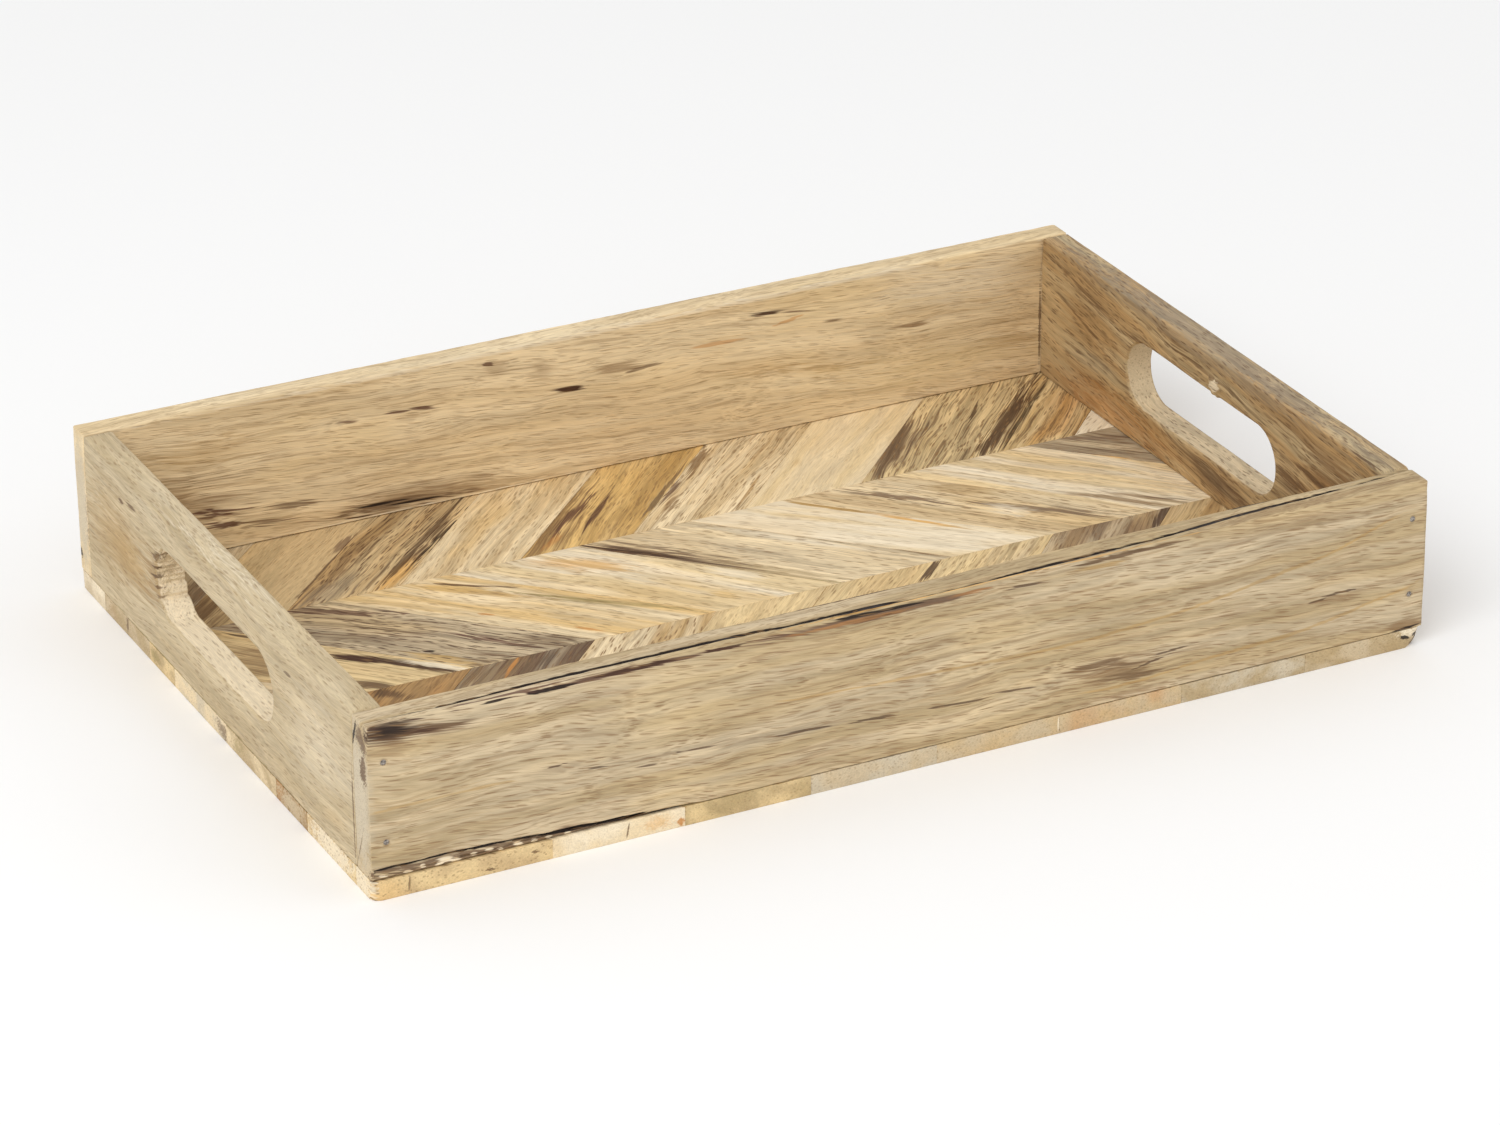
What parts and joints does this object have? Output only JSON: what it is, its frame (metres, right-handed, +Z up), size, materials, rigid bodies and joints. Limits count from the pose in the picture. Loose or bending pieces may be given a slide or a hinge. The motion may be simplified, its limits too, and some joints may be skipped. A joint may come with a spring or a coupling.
{
  "type": "serving tray",
  "caption": "Rectangular wooden serving tray with butt-jointed walls, an obround hand hole in each end wall and a chevron slat base.",
  "frame": {"origin": "on the ground, under the middle of the tray's footprint", "axes": "+X along the tray's length towards the right end wall, +Y across it towards the back wall, +Z up"},
  "size_m": [0.406, 0.266, 0.0645],
  "materials": {
    "front_board": "satin",
    "back_board": "satin",
    "left_end_board": "satin",
    "right_end_board": "satin",
    "base_slats": "satin",
    "brad_steel": "brushed"
  },
  "bodies": {
    "root": {"back_wall": "back_board", "brad_back_left_high": "brad_steel", "brad_back_left_low": "brad_steel", "brad_back_right_high": "brad_steel", "brad_back_right_low": "brad_steel", "brad_front_left_high": "brad_steel", "brad_front_left_low": "brad_steel", "brad_front_right_high": "brad_steel", "brad_front_right_low": "brad_steel", "front_wall": "front_board", "left_end_wall": "left_end_board", "right_end_wall": "right_end_board", "slat_back_01": "base_slats", "slat_back_02": "base_slats", "slat_back_03": "base_slats", "slat_back_04": "base_slats", "slat_back_05": "base_slats", "slat_back_06": "base_slats", "slat_back_07": "base_slats", "slat_back_08": "base_slats", "slat_back_09": "base_slats", "slat_back_10": "base_slats", "slat_back_11": "base_slats", "slat_front_01": "base_slats", "slat_front_02": "base_slats", "slat_front_03": "base_slats", "slat_front_04": "base_slats", "slat_front_05": "base_slats", "slat_front_06": "base_slats", "slat_front_07": "base_slats", "slat_front_08": "base_slats", "slat_front_09": "base_slats", "slat_front_10": "base_slats", "slat_mid_01": "base_slats", "slat_mid_02": "base_slats", "slat_mid_03": "base_slats", "slat_mid_04": "base_slats", "slat_mid_05": "base_slats", "slat_mid_06": "base_slats", "slat_mid_07": "base_slats", "slat_mid_08": "base_slats", "slat_mid_09": "base_slats", "slat_mid_10": "base_slats", "slat_near_01": "base_slats", "slat_near_02": "base_slats", "slat_near_03": "base_slats", "slat_near_04": "base_slats", "slat_near_05": "base_slats", "slat_near_06": "base_slats", "slat_near_07": "base_slats", "slat_near_08": "base_slats", "slat_near_09": "base_slats", "slat_near_10": "base_slats"}
  },
  "joints": []
}
